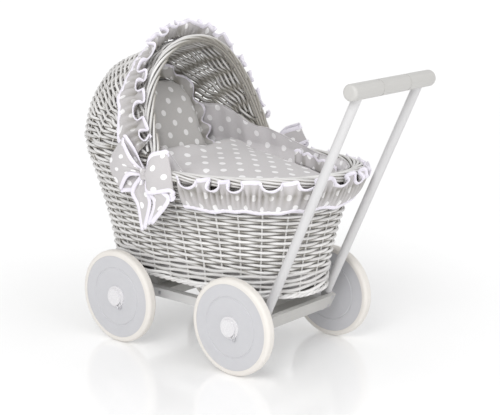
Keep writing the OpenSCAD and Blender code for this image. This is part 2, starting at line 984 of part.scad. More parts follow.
// A hairpin of spring wire that sits in the axle's groove
module clip() {
    leg_y = neck_r + 0.15 + wire_r;
    leg_in = 9;
    leg_out = 20;
    color(steel)
        translate([0, 0, clip_t])
            rotate([0, 0, clip_turn]) {
                for (s = [-1, 1])
                    translate([-leg_in, s * leg_y, 0])
                        rotate([0, 90, 0])
                            cylinder(r = wire_r, h = leg_in + leg_out, $fn = 24);
                translate([leg_out, 0, 0])
                    rotate([0, 0, -90])
                        rotate_extrude(angle = 180)
                            translate([leg_y, 0])
                                circle(wire_r, $fn = 24);
            }
}

rail_left();
rail_right();
front_board();
rear_board();
rear_apron();
front_bearer();
rear_bearer();
frame_screws();
bearer_screws();
front_axle();
rear_axle();
axle_spacers();
bar_left();
bar_right();
grip();
grip_pins();
bar_screws();
apron_screws();
basket_base();
basket_shell();
foot_ring();
rim_border();
hood_shell();
hood_border();
basket_screws();
lining();
mattress();
pillow();
pillow_frill();
duvet();
rim_ruffle();
hood_ruffle();
bow_left();
bow_right();
at_wheel(front, left) disc();  // disc_front_left
at_wheel(front, left) tyre();  // tyre_front_left
at_wheel(front, left) hub();  // hub_front_left
at_wheel(front, left) cap();  // cap_front_left
at_wheel(front, left) clip();  // clip_front_left
at_wheel(front, right) disc();  // disc_front_right
at_wheel(front, right) tyre();  // tyre_front_right
at_wheel(front, right) hub();  // hub_front_right
at_wheel(front, right) cap();  // cap_front_right
at_wheel(front, right) clip();  // clip_front_right
at_wheel(rear, left) disc();  // disc_rear_left
at_wheel(rear, left) tyre();  // tyre_rear_left
at_wheel(rear, left) hub();  // hub_rear_left
at_wheel(rear, left) cap();  // cap_rear_left
at_wheel(rear, left) clip();  // clip_rear_left
at_wheel(rear, right) disc();  // disc_rear_right
at_wheel(rear, right) tyre();  // tyre_rear_right
at_wheel(rear, right) hub();  // hub_rear_right
at_wheel(rear, right) cap();  // cap_rear_right
at_wheel(rear, right) clip();  // clip_rear_right
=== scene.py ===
"""Looks of a wicker doll pram: woven willow, gathered dotted cotton, painted wood and rubber tyres."""

import math

import bpy
import numpy as np
from mathutils import Matrix, Vector


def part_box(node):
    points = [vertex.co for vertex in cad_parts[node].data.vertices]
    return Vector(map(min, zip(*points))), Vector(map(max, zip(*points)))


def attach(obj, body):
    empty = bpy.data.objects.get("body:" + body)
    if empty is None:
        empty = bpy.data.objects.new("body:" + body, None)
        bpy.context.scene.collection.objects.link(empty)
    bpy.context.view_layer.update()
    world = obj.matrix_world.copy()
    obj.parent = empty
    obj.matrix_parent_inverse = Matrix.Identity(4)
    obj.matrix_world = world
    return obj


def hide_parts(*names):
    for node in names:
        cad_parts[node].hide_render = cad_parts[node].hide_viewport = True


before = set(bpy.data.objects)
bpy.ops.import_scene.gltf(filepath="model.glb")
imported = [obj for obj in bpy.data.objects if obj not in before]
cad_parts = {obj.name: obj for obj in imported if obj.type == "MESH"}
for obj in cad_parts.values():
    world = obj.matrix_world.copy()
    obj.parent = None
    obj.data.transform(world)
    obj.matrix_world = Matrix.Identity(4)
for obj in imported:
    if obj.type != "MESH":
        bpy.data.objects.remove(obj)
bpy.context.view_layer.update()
rng = np.random.RandomState(7)

# Shapes are worked out in millimetres about the middle between the axles, as in the CAD source,
# and moved into the shared frame, in metres, when their mesh is made.
MM = 0.001
UP = np.array([0.0, 0.0, 1.0])


def mm_box(node):
    low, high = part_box(node)
    return np.array(low) / MM, np.array(high) / MM


def middle(node):
    low, high = mm_box(node)
    return (low + high) / 2


MID_X = (middle("disc_front_left")[0] + middle("disc_rear_left")[0]) / 2
SHELL_LOW, SHELL_HIGH = mm_box("basket_shell")
BASE_LOW, BASE_HIGH = mm_box("basket_base")
HOOD_BACK = mm_box("hood_shell")[0][0] - MID_X
RIM_HIGH = mm_box("rim_border")[1]

# Basket wall: superellipses that widen from the foot to the rim
WALL_T = 8.0
BASE_INSET = 7.0
TOP_HALF = (SHELL_HIGH[:2] - SHELL_LOW[:2]) / 2
FOOT_HALF = (BASE_HIGH[:2] - BASE_LOW[:2]) / 2 + BASE_INSET
TOP_X = (SHELL_HIGH[0] + SHELL_LOW[0]) / 2 - MID_X
FOOT_X = (BASE_HIGH[0] + BASE_LOW[0]) / 2 - MID_X
SHELL_Z = SHELL_LOW[2]
FOOT_Z = BASE_LOW[2]
FLARE = 1.5
FOOT_N, RIM_N = 2.6, 2.25
RIM_Z, RIM_H, RIM_W = 338.0, 12.0, 25.0
RIM_X = FOOT_X
RIM_HALF = np.array([RIM_HIGH[0] - MID_X - RIM_X - RIM_W / 2, RIM_HIGH[1] - RIM_W / 2])
RIM_END_X = -8.0

# Hood: ribs that fan out from a pivot line, and the arch that borders the front one
PIVOT_X, PIVOT_Z = -27.0, 357.0
HOOD_REACH = PIVOT_X - HOOD_BACK
ARCH_REACH, ARCH_HALF = 193.0, 146.0
RIB_N = 2.15
RIB_FANS = [0, 15, 30, 45, 60, 75]
RIB_REACHES = [HOOD_REACH, HOOD_REACH - 11, HOOD_REACH - 31, ARCH_REACH + 30, ARCH_REACH + 11, ARCH_REACH]
FRONT_LOW, FRONT_RISE = 66.0, 9.0
ARCH_W, ARCH_T, ARCH_SINK = 20.0, 16.0, -2.0
HOOD_START = 3.5

# Willow: rods woven round stakes. SWING is how far a rod's middle passes off the wall's middle.
STRAND_R, STAKE_R = 2.64, 2.0
SWING = 2.9
ROW_PITCH = 5.8
STAKES, HOOD_STAKES = 30, 14
STAKE_STEPS = 8
# STAKE_PUSH only sets the stakes' level, and so their painted shade; it does not move them
STAKE_PUSH = 0.6

# Cloth and its bindings
CLOTH_T = 0.9
TAPE_HALF, TAPE_T = 4.0, 1.4
DOT_CELL, DOT_R = 42.0, 5.7
DOT_DROP = 3.0


# ---------- shape functions, as in the CAD source ----------
def lerp(a, b, k):
    return a + (b - a) * k


def smooth(k):
    c = np.clip(k, 0, 1)
    return c * c * (3 - 2 * c)


def spow(v, e):
    return np.sign(v) * np.abs(v) ** e


def unit(v):
    return v / np.maximum(np.linalg.norm(v, axis=-1, keepdims=True), 1e-9)


def oval(a, b, n, t):
    """A superellipse's points at angles t, in radians."""
    return a * spow(np.cos(t), 2 / n), b * spow(np.sin(t), 2 / n)


def rim_top(x):
    """Height of the rim, which rises a little towards both ends."""
    return RIM_Z + x / 100 + (x / 100) ** 2


def wall_pt(k, t, e=0.0):
    """A point of the basket's wall: height k from 0 to 1, angle t, and e outside the shell's surface."""
    s = np.clip(k, 0, 2) ** FLARE
    half_x, half_y = (lerp(FOOT_HALF[i], TOP_HALF[i], s) + e for i in (0, 1))
    x, y = oval(half_x, half_y, lerp(FOOT_N, RIM_N, s), t)
    x = x + lerp(FOOT_X, TOP_X, s)
    return np.stack([x, y, lerp(SHELL_Z, rim_top(x) - RIM_H, k)], -1)


def hood_depth(a):
    return np.interp(a, RIB_FANS, RIB_REACHES)


def rib_pt(a, v, e=0.0):
    """A point of the hood: fan angle a and angle v round the rib, from right foot to left, in degrees."""
    vr, ar = np.radians(v), np.radians(a)
    r = (hood_depth(a) + e) * np.sin(vr) ** (2 / RIB_N)
    w = lerp(TOP_HALF[1], ARCH_HALF, a / RIB_FANS[-1]) + e
    y = w * spow(np.cos(vr), 2 / RIB_N) + 0 * r
    return np.stack([PIVOT_X - r * np.cos(ar), y, PIVOT_Z + r * np.sin(ar)], -1)


def front_angle(v):
    return FRONT_LOW + FRONT_RISE * np.sin(np.radians(v))


def shell_front(v):
    """Fan angle at which the woven shell meets the arch."""
    reach = ARCH_REACH * np.sin(np.radians(v)) ** (2 / RIB_N)
    return front_angle(v) - np.degrees((ARCH_W / 2 + 0.5) / reach)


def even_steps(points, count, closed=False):
    """Positions along a dense line of points, as fractions of its index, evenly spaced by length."""
    ends = np.roll(points, -1, 0) if closed else points[1:]
    starts = points if closed else points[:-1]
    run = np.concatenate([[0], np.cumsum(np.linalg.norm(ends - starts, axis=1))])
    wanted = np.linspace(0, run[-1], count + 1)
    return np.interp(wanted, run, np.arange(len(run))) / (len(run) - 1)


def even_params(line, start, end, count, dense=1500):
    """count parameters from start to end, at which the curve's points are evenly spaced by length."""
    return lerp(start, end, even_steps(line(np.linspace(start, end, dense)), count - 1))


def running_length(points):
    return np.concatenate([[0], np.cumsum(np.linalg.norm(np.diff(points, axis=0), axis=1))])


def line_length(points):
    return float(np.linalg.norm(np.diff(points, axis=0), axis=1).sum())


def pick(line, share):
    """Points of a dense line at shares of its index from 0 to 1."""
    at = np.linspace(0, 1, len(line))
    return np.stack([np.interp(share, at, line[:, k]) for k in range(3)], -1)


def tangents(points, closed=False):
    if closed:
        return unit(np.roll(points, -1, 0) - np.roll(points, 1, 0))
    return unit(np.gradient(points, axis=0))


def wander(count, waves, size):
    """A smooth seeded random line through count samples."""
    s = np.linspace(0, 1, count)
    line = 0
    for w in range(1, waves + 1):
        line = line + rng.normal() / (1 + w / waves) * np.sin(2 * np.pi * (w * s + rng.rand()))
    return size * line / max(1e-6, np.abs(line).max())


# ---------- mesh making ----------
def add_object(name, data):
    obj = bpy.data.objects.new(name, data)
    bpy.context.scene.collection.objects.link(obj)
    return obj


def make_object(name, verts, faces):
    mesh = bpy.data.meshes.new(name)
    placed = (np.asarray(verts, float) + [MID_X, 0, 0]) * MM
    mesh.from_pydata(placed.tolist(), [], faces)
    mesh.validate()
    shade_smooth(mesh)
    return add_object(name, mesh)


def shade_smooth(mesh):
    mesh.polygons.foreach_set("use_smooth", [True] * len(mesh.polygons))


def finish_piece(obj, material, replaces=()):
    obj.data.materials.clear()
    obj.data.materials.append(material)
    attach(obj, "root")
    if replaces:
        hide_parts(*replaces)
    return obj


class Strands:
    """Round or flat rods gathered into one mesh. Each point keeps its rod's tone, the length along it, and
    its level: how far it stands outside the middle of the woven sheet, which the willow material turns into
    painted shade."""

    def __init__(self, sides=6):
        self.sides = sides
        self.verts, self.faces, self.tone, self.along, self.level = [], [], [], [], []
        self.count = 0

    def add(self, points, ref, r, r2=None, tone=None, closed=False, push=3.0):
        """A rod along points: r is its radius towards ref, r2 across it, and push its own middle's level."""
        points, n = np.asarray(points, float), len(points)
        t = tangents(points, closed)
        ref = np.broadcast_to(ref, points.shape)
        b1 = unit(ref - (ref * t).sum(-1, keepdims=True) * t)
        b2 = np.cross(t, b1)
        a = np.arange(self.sides) * 2 * np.pi / self.sides
        r1 = np.broadcast_to(r, n)[:, None, None]
        r2 = r1 if r2 is None else np.broadcast_to(r2, n)[:, None, None]
        ring = (
            points[:, None]
            + r1 * np.cos(a)[None, :, None] * b1[:, None]
            + r2 * np.sin(a)[None, :, None] * b2[:, None]
        )
        self.verts.append(ring.reshape(-1, 3))
        self.along.append(np.repeat(running_length(points), self.sides))
        self.level.append((np.broadcast_to(push, n)[:, None] + r1[:, :, 0] * np.cos(a)[None, :]).ravel())
        self.tone.append(np.full(n * self.sides, rng.rand() if tone is None else tone))
        row = np.arange(n if closed else n - 1)[:, None]
        col = np.arange(self.sides)[None, :]
        next_row, next_col = (row + 1) % n, (col + 1) % self.sides
        corners = ((row, col), (row, next_col), (next_row, next_col), (next_row, col))
        quads = np.stack([self.count + i * self.sides + j for i, j in corners], -1)
        self.faces += quads.reshape(-1, 4).tolist()
        if not closed:
            end = self.count + (n - 1) * self.sides
            self.faces.append([self.count + j for j in reversed(range(self.sides))])
            self.faces.append([end + j for j in range(self.sides)])
        self.count += n * self.sides

    def build(self, name):
        obj = make_object(name, np.concatenate(self.verts), self.faces)
        for key, values in (("tone", self.tone), ("along", self.along), ("level", self.level)):
            set_attribute(obj, key, np.concatenate(values))
        return obj


def set_attribute(obj, name, values):
    layer = obj.data.attributes.new(name, "FLOAT", "POINT")
    layer.data.foreach_set("value", values.astype(np.float32))


def cloth_grid(name, points, uv, fold=None):
    """A sheet through a grid of points. uv is the same grid on the flat cloth, in millimetres.
    fold goes from 0 on open cloth to 1 at the bottom of a tight gather, and darkens the cloth there as painted
    shade."""
    rows, cols = points.shape[:2]
    i, j = np.arange(rows - 1)[:, None], np.arange(cols - 1)[None, :]
    o = i * cols + j
    faces = np.stack([o, o + 1, o + cols + 1, o + cols], -1).reshape(-1, 4).tolist()
    obj = make_object(name, points.reshape(-1, 3), faces)
    set_uv(obj, uv.reshape(-1, 2))
    if fold is not None:
        set_attribute(obj, "fold", np.clip(fold, 0, 1).ravel())
    solid = obj.modifiers.new("thickness", "SOLIDIFY")
    solid.thickness = CLOTH_T * MM
    solid.offset = 0
    return obj


def set_uv(obj, uv):
    layer = obj.data.uv_layers.new(name="flat")
    at = np.zeros(len(obj.data.loops), np.int32)
    obj.data.loops.foreach_get("vertex_index", at)
    layer.data.foreach_set("uv", (uv[at] * MM).astype(np.float32).ravel())


def flat_grid(along, across):
    """The grid of a strip on the flat cloth."""
    return np.stack(np.broadcast_arrays(along[None, :], across[:, None]), -1)


def add_tape(strands, edge, inside, half=TAPE_HALF, thick=TAPE_T):
    """Binding folded over a cloth edge: edge and inside are the grid's last two rows."""
    inward = unit(inside - edge)
    strands.add(edge + inward * half * 0.55, inward, half, thick, tone=0.5)


# ---------- materials ----------
class Nodes:
    """Short spellings for building the node tree of a new material, or of a world."""

    def __init__(self, name, kind="materials", shader="Principled BSDF"):
        self.owner = getattr(bpy.data, kind).new(name)
        self.owner.use_nodes = True
        self.tree = self.owner.node_tree
        self.shader = self.tree.nodes[shader]

    def node(self, kind, **settings):
        made = self.tree.nodes.new(kind)
        for key, value in settings.items():
            setattr(made, key, value)
        return made

    def put(self, socket, value):
        if isinstance(value, bpy.types.NodeSocket):
            self.tree.links.new(value, socket)
        else:
            socket.default_value = value

    def fed(self, kind, values, **settings):
        """The outputs of a new node with values put into its first inputs."""
        made = self.node(kind, **settings)
        for socket, value in zip(made.inputs, values):
            self.put(socket, value)
        return made.outputs

    def math(self, operation, *values):
        return self.fed("ShaderNodeMath", values, operation=operation)[0]

    def vector(self, operation, *values, out=0):
        return self.fed("ShaderNodeVectorMath", values, operation=operation)[out]

    def span(self, value, low, high, to_low=0.0, to_high=1.0):
        values = (value, low, high, to_low, to_high)
        return self.fed("ShaderNodeMapRange", values, interpolation_type="SMOOTHSTEP")[0]

    def noise(self, where, scale, detail=3.0):
        made = self.node("ShaderNodeTexNoise")
        self.put(made.inputs["Vector"], where)
        made.inputs["Scale"].default_value = scale
        made.inputs["Detail"].default_value = detail
        made.inputs["Roughness"].default_value = 0.6
        return made.outputs["Fac"]

    def ramp(self, factor, low, high):
        """Two colours mixed by a factor from 0 to 1."""
        made = self.node("ShaderNodeMix", data_type="RGBA")
        self.put(made.inputs[0], factor)
        for socket, color in ((made.inputs[6], low), (made.inputs[7], high)):
            self.put(socket, (*color, 1) if isinstance(color, tuple) else color)
        return made.outputs[2]

    def bump(self, height, distance, strength):
        made = self.node("ShaderNodeBump")
        self.put(made.inputs["Height"], height)
        made.inputs["Distance"].default_value = distance
        made.inputs["Strength"].default_value = strength
        self.put(self.shader.inputs["Normal"], made.outputs[0])

    def surface(self, color, roughness, **more):
        self.put(self.shader.inputs["Base Color"], color)
        self.put(self.shader.inputs["Roughness"], roughness)
        for key, value in more.items():
            self.shader.inputs[key].default_value = value
        return self.owner


def attribute(n, name):
    return n.node("ShaderNodeAttribute", attribute_name=name).outputs["Fac"]


def object_place(n):
    return n.node("ShaderNodeTexCoord").outputs["Object"]


def willow_material():
    n = Nodes("painted_willow")
    tone, along = attribute(n, "tone"), attribute(n, "along")
    join = n.node("ShaderNodeCombineXYZ")
    n.put(join.inputs[0], n.math("MULTIPLY", along, 0.03))
    n.put(join.inputs[1], n.math("MULTIPLY", tone, 57.0))
    patches = n.noise(join.outputs[0], 1.0)
    grain = n.noise(object_place(n), 900.0, 2.0)
    # painted shade: the rods darken where they pass behind the stakes and each other, where the paint is also
    # thinner, and come back nearly to full on the weave's inner side
    level = attribute(n, "level")
    lit_and_painted = n.math("MAXIMUM", n.span(level, -1.5, 3.2), n.span(level, -1.5, -5.0, 0.0, 0.9))
    paint = n.ramp(tone, (0.67, 0.66, 0.65), (0.85, 0.84, 0.83))
    thin = n.span(patches, 0.60, 0.80, 0.0, 0.35)
    color = n.ramp(lit_and_painted, (0.32, 0.30, 0.262), n.ramp(thin, paint, (0.55, 0.53, 0.50)))
    n.bump(n.math("ADD", n.math("MULTIPLY", patches, 0.6), n.math("MULTIPLY", grain, 0.5)), 0.0006, 0.5)
    return n.surface(color, n.span(grain, 0.3, 0.7, 0.38, 0.55))


def cloth_threads(n, uv):
    """Slubs of the linen-like weave: noise drawn out along the warp and along the weft."""
    warp = n.noise(n.vector("MULTIPLY", uv, (1500.0, 130.0, 1.0)), 1.0, 2.0)
    weft = n.noise(n.vector("MULTIPLY", uv, (130.0, 1500.0, 1.0)), 1.0, 2.0)
    return n.math("ADD", n.math("MULTIPLY", warp, 0.5), n.math("MULTIPLY", weft, 0.5))


def dotted_material(name, low, high, dots=(0.93, 0.92, 0.93)):
    n = Nodes(name)
    uv = n.node("ShaderNodeTexCoord").outputs["UV"]
    threads = cloth_threads(n, uv)
    place = n.vector("MULTIPLY", uv, (1 / (DOT_CELL * MM), 1 / (DOT_CELL * MM), 0.0))
    gaps = []
    for shift in (0.0, 0.5):
        moved = n.vector("ADD", place, (shift, shift, 0.0))
        cell = n.vector("SUBTRACT", n.vector("FRACTION", moved), (0.5, 0.5, 0.0))
        gaps.append(n.vector("LENGTH", cell, out=1))
    nearest = n.math("MINIMUM", *gaps)
    ragged = n.math("ADD", nearest, n.math("MULTIPLY", n.math("SUBTRACT", threads, 0.5), 0.02))
    r = DOT_R / DOT_CELL
    dot = n.span(ragged, r + 0.008, r - 0.008)
    cloth = n.ramp(threads, low, high)
    open_cloth = n.ramp(dot, cloth, dots)
    # painted shade: the fold attribute darkens the cloth in creases and gathers towards a dark grey-brown
    color = n.ramp(attribute(n, "fold"), open_cloth, (0.27, 0.255, 0.225))
    n.bump(threads, 0.0004, 0.5)
    return n.surface(color, 0.85, **{"Sheen Weight": 0.15, "Sheen Roughness": 0.5})


def plain_cloth_material(name, low, high):
    n = Nodes(name)
    threads = n.noise(object_place(n), 1100.0, 2.0)
    folds = n.noise(object_place(n), 60.0, 2.0)
    n.bump(n.math("ADD", threads, folds), 0.0004, 0.5)
    return n.surface(n.ramp(threads, low, high), 0.8, **{"Sheen Weight": 0.1})


def painted_wood_material(name, low, high, stretch, roughness=0.42):
    """Satin paint over wood: long faint grain, small dust specks and slightly uneven gloss."""
    n = Nodes(name)
    where = n.vector("MULTIPLY", object_place(n), stretch)
    grain = n.noise(where, 1.0, 4.0)
    cloud = n.noise(object_place(n), 14.0, 2.0)
    fine = n.noise(object_place(n), 700.0, 2.0)
    n.bump(n.math("ADD", grain, n.math("MULTIPLY", fine, 0.4)), 0.0004, 0.35)
    shade = n.math("ADD", n.math("MULTIPLY", grain, 0.5), n.math("MULTIPLY", cloud, 0.5))
    return n.surface(n.ramp(shade, low, high), n.span(fine, 0.3, 0.7, roughness - 0.06, roughness + 0.08))


def rubber_material():
    n = Nodes("white_rubber")
    fine, cloud = n.noise(object_place(n), 800.0, 2.0), n.noise(object_place(n), 30.0, 3.0)
    n.bump(fine, 0.0003, 0.4)
    return n.surface(
        n.ramp(cloud, (0.76, 0.725, 0.68), (0.84, 0.81, 0.77)), n.span(cloud, 0.3, 0.7, 0.5, 0.65)
    )


def plastic_material():
    n = Nodes("white_plastic")
    fine, cloud = n.noise(object_place(n), 400.0, 2.0), n.noise(object_place(n), 40.0, 2.0)
    n.bump(fine, 0.0002, 0.2)
    return n.surface(
        n.ramp(cloud, (0.72, 0.71, 0.73), (0.80, 0.79, 0.80)), n.span(fine, 0.3, 0.7, 0.22, 0.32)
    )


def steel_material():
    n = Nodes("steel")
    lines = n.noise(n.vector("MULTIPLY", object_place(n), (2500.0, 200.0, 2500.0)), 1.0, 2.0)
    n.bump(lines, 0.0002, 0.3)
    return n.surface(
        n.ramp(lines, (0.50, 0.50, 0.52), (0.66, 0.66, 0.68)), n.span(lines, 0.3, 0.7, 0.25, 0.4), Metallic=1.0
    )


willow = willow_material()
dotted = dotted_material("dotted_cotton", (0.48, 0.462, 0.467), (0.65, 0.628, 0.635))
duvet_dotted = dotted_material("duvet_cotton", (0.53, 0.51, 0.515), (0.71, 0.69, 0.695))
# one dotted cotton in lit and shaded copies: the lining's copy is lighter, with brighter dots, as painted light
# where the hood shades it, and the pillow's copy darker, as painted shade
lit_lining_dotted = dotted_material("lining_cotton", (0.62, 0.60, 0.61), (0.80, 0.78, 0.79), (0.99, 0.98, 0.99))
shaded_pillow_dotted = dotted_material("pillow_cotton", (0.46, 0.445, 0.435), (0.62, 0.605, 0.59), (0.88, 0.87, 0.87))
tape = plain_cloth_material("white_binding", (0.80, 0.77, 0.86), (0.92, 0.89, 0.95))
grey_cotton = plain_cloth_material("grey_cotton", (0.53, 0.51, 0.52), (0.71, 0.69, 0.70))
ticking = plain_cloth_material("mattress_cotton", (0.74, 0.73, 0.71), (0.86, 0.85, 0.83))
rubber = rubber_material()
plastic = plastic_material()
steel = steel_material()

# How often the grain repeats per metre, along the wood and across it
GRAIN_X, GRAIN_Y, GRAIN_Z = (9.0, 260.0, 260.0), (260.0, 9.0, 260.0), (260.0, 260.0, 9.0)
NO_GRAIN = (90.0, 90.0, 90.0)
# one grey paint in copies whose brightness is painted light and shade, set to how brightly each piece is lit:
# along_y, on the cross boards, apron and base in the basket's shadow, is darkest, and along_x on the rails
# lightest
along_x = painted_wood_material("painted_wood_x", (0.63, 0.628, 0.625), (0.72, 0.717, 0.71), GRAIN_X)
along_y = painted_wood_material("painted_wood_y", (0.49, 0.483, 0.468), (0.585, 0.577, 0.558), GRAIN_Y)
along_z = painted_wood_material("painted_wood_z", (0.60, 0.595, 0.60), (0.68, 0.675, 0.68), GRAIN_Z)
disc_paint = painted_wood_material("wheel_paint", (0.555, 0.555, 0.58), (0.625, 0.625, 0.645), NO_GRAIN, 0.36)
bare_wood = painted_wood_material("plain_wood", (0.55, 0.40, 0.24), (0.70, 0.56, 0.38), GRAIN_X, 0.6)

# Looks of the CAD nodes that show as they are, by how their names start. Cross boards and the rest are along_y.
LOOKS = {
    "disc": disc_paint, "tyre": rubber, "hub": plastic, "cap": plastic, "axle_spacers": plastic,
    "clip": steel, "rail": along_x, "bar_": along_z, "grip_pins": bare_wood,
}
for name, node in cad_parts.items():
    look = next((LOOKS[start] for start in LOOKS if name.startswith(start)), along_y)
    if name.endswith(("screws", "axle")):
        look = steel
    node.data.materials.clear()
    node.data.materials.append(look)


# ---------- woven basket ----------
def finish_woven(strands, name, replaces=()):
    finish_piece(strands.build(name), willow, replaces)


def stake_angles(count, k=0.6):
    """Angles round the wall, evenly spaced by length at height k."""
    t = np.linspace(0, 2 * np.pi, 1441)[:-1]
    return even_steps(wall_pt(k, t), count, closed=True) * 2 * np.pi


def outward(points):
    return unit((points - [FOOT_X, 0, 0]) * [0.6, 1.0, 0.0])


def over_under(row, stake_no):
    """A rod's push off the wall's middle: in front of one stake, behind the next, opposite in the next row."""
    return (1 if row % 2 else -1) * SWING * np.cos(np.pi * stake_no)


def weave_basket():
    wale_rows, wale_push, wale_swing, wale_climb, wale_stout = 6, 0.35, 0.75, 0.014, 1.12
    thick_low, thick_range, sag, lump = 0.96, 0.08, 0.0035, 0.05
    fine_t = stake_angles(STAKES * STAKE_STEPS)[:-1]
    stake_no = np.arange(STAKES * STAKE_STEPS) / STAKE_STEPS
    rows = int((RIM_Z - RIM_H - SHELL_Z) / ROW_PITCH)
    weavers = Strands()
    for i in range(rows):
        k = (i + 0.5) / rows
        if i < wale_rows:
            # a stout wale passes outside two stakes and behind the third, climbing as it goes
            turn = 2 * np.pi * (stake_no / 3 + i / 3)
            push, climb = SWING * (wale_push + wale_swing * np.cos(turn)), wale_climb * np.sin(turn)
            r = STRAND_R * wale_stout
        else:
            push, climb = over_under(i, stake_no), 0.0
            r = STRAND_R * (thick_low + thick_range * rng.rand())
        k_line = k + climb + wander(len(fine_t), 9, sag)
        points = wall_pt(k_line, fine_t, -WALL_T / 2 + push)
        r = r * (1 + wander(len(fine_t), 20, lump))
        weavers.add(points, outward(points), r, closed=True, push=push)
    finish_woven(weavers, "basket_weave", ["basket_shell"])
    # the stakes run past the weave a little, down into the foot ring and up into the rim
    past, foot_drop, samples = 0.02, 200, 40
    stakes = Strands()
    for t in stake_angles(STAKES)[:-1]:
        k = np.linspace(-past, 1 + past, samples)
        points = wall_pt(np.maximum(k, 0), np.full(samples, t), -WALL_T / 2)
        points[:, 2] += np.minimum(k, 0) * foot_drop
        stakes.add(points, outward(points), STAKE_R, push=STAKE_PUSH)
    finish_woven(stakes, "basket_stakes")


def weave_foot():
    """Rope-like border round the foot of the wall: strands that wind round one line."""
    turns, strands, samples = 26, 3, 720
    rod_r, wind_r, inset, lift = 2.4, 2.2, 3, 4.2
    t = stake_angles(samples, 0.0)[:-1]
    ring = Strands()
    for s in range(strands):
        a = np.linspace(0, 2 * np.pi * turns, samples + 1)[:-1] + 2 * np.pi * s / strands
        half_x, half_y = (FOOT_HALF[i] - inset + wind_r * np.cos(a) for i in (0, 1))
        x, y = oval(half_x, half_y, FOOT_N, t)
        points = np.stack([FOOT_X + x, y, FOOT_Z + lift + wind_r * np.sin(a)], -1)
        ring.add(points, outward(points), rod_r, closed=True)
    finish_woven(ring, "foot_plait", ["foot_ring"])


def wall_row(v, e):
    """The top of the wall at the hood's angles v, which run from the right foot over to the left."""
    x, y = oval(TOP_HALF[0] + e, TOP_HALF[1] + e, RIM_N, np.radians(90 + v))
    x = x + TOP_X
    return np.stack([x, np.sign(90 - v) * np.abs(y), rim_top(x) - RIM_H], -1)


def fan_rows(v):
    """The hood's rows over the ribs at v: each row's weight, from 0 where it hasn't begun to 1, and its
    share of the way from the lowest rib to the front."""
    fan = np.linspace(0, 1, 60)
    lengths = np.array([line_length(rib_pt(fan * shell_front(x), np.full(60, x))) for x in v])
    fits = lengths / ROW_PITCH
    # rows end in pairs, so that the rows beside them still pass a stake on opposite sides, and the pairs
    # end in bit-reversed order, which spreads the ends evenly over the fan
    most = int(fits.max())
    most -= most % 2
    pairs = [int(format(i, "05b")[::-1], 2) for i in range(32)][: most // 2]
    rank = np.array([sorted(pairs).index(pairs[i // 2]) * 2 for i in range(most)])
    weight = np.clip((fits[None, :] - rank[:, None]) / 4, 0, 1)
    weight[rank < 4] = 1
    before = np.cumsum(weight, 0) - weight / 2
    share = before / weight.sum(0, keepdims=True)
    # rows are spaced evenly by length over the top, where the ribs' reach changes
    top_run = running_length(rib_pt(fan * shell_front(90.0), np.full(60, 90.0)))
    return weight, np.interp(share, top_run / top_run[-1], fan)


def weave_hood():
    band_rows, thinnest, shortest, sag, samples = 5, 0.12, 6, 0.25, 40
    count = HOOD_STAKES * STAKE_STEPS + 1
    v = even_params(lambda v: rib_pt(30.0, v), HOOD_START, 180 - HOOD_START, count, 1200)
    stake_no = np.arange(count) / STAKE_STEPS
    centre = np.array([PIVOT_X, 0, PIVOT_Z - 40])
    weavers = Strands()
    # between the basket's top and the hood's lowest rib
    for i in range(band_rows):
        push = over_under(i, stake_no)
        e = -WALL_T / 2 + push
        points = lerp(wall_row(v, e), rib_pt(0.0, v, e), (i + 0.6) / band_rows)
        weavers.add(points, unit(points - centre), STRAND_R, push=push)
    # the fan: rows end where their neighbours close up
    weight, share = fan_rows(v)
    front = shell_front(v)
    for i in range(len(weight)):
        there = np.where(weight[i] > thinnest)[0]
        if len(there) < shortest:
            continue
        j = slice(there[0], there[-1] + 1)
        push = over_under(i, stake_no[j])
        a = (share[i][j] * front[j]) + wander(len(v[j]), 9, sag)
        points = rib_pt(a, v[j], -WALL_T / 2 + push)
        weavers.add(points, unit(points - centre), STRAND_R * (0.5 + 0.5 * weight[i][j]), push=push)
    finish_woven(weavers, "hood_weave", ["hood_shell"])
    stakes = Strands()
    for x in v[: len(v) - STAKE_STEPS // 2 : STAKE_STEPS]:
        fan = rib_pt(np.linspace(0, 1, samples) * shell_front(x), np.full(samples, x), -WALL_T / 2)
        stakes.add(fan, unit(fan - centre), STAKE_R, push=STAKE_PUSH)
    finish_woven(stakes, "hood_stakes")


def rolled_border(name, frames, half_w, half_h, strand_r, present, pitch, replaces):
    """Willow ends laid over each other along a line: each starts inside, rolls over the top and ends outside.
    frames holds the line's points and its directions up and to the side. present ends lie side by side."""
    start_angle, end_angle = 200, -60
    # low and rise set each end's level, which only paints its shade: darker where it runs inside and
    # underneath, lighter over the top and outside
    low, rise = -0.6, 2.2
    n = len(frames[0])
    length = line_length(frames[0])
    count = int(length / pitch)
    reach = present * pitch / length
    strands = Strands()

    def at(s, phi, shrink=1.0):
        centre, up, side = (pick(line, s) for line in frames)
        high = ((half_h - strand_r) * shrink * np.sin(phi))[:, None]
        wide = ((half_w - strand_r) * shrink * np.cos(phi))[:, None]
        return centre + up * high + side * wide, up

    for i in range(-present + 1, count):
        s0 = i / count
        s = np.linspace(s0, s0 + reach, 44)
        s = s[(s >= 0) & (s <= 1)]
        if len(s) < 5:
            continue
        k = (s - s0) / reach
        phi = np.radians(lerp(start_angle, end_angle, k)) + wander(len(s), 3, 0.06)
        points, up = at(s, phi)
        push = low + rise * np.maximum(np.sin(phi), np.cos(phi))
        strands.add(points, up, strand_r * (1 - 0.25 * np.abs(2 * k - 1) ** 4), push=push)
    # a core of plain rods keeps gaps between the ends from showing through; their low level paints them in
    # shade
    for angle in (200, 270, 340):
        points, up = at(np.linspace(0, 1, n), np.full(n, math.radians(angle)), 0.55)
        strands.add(points, up, strand_r, push=-0.4)
    finish_woven(strands, name, replaces)


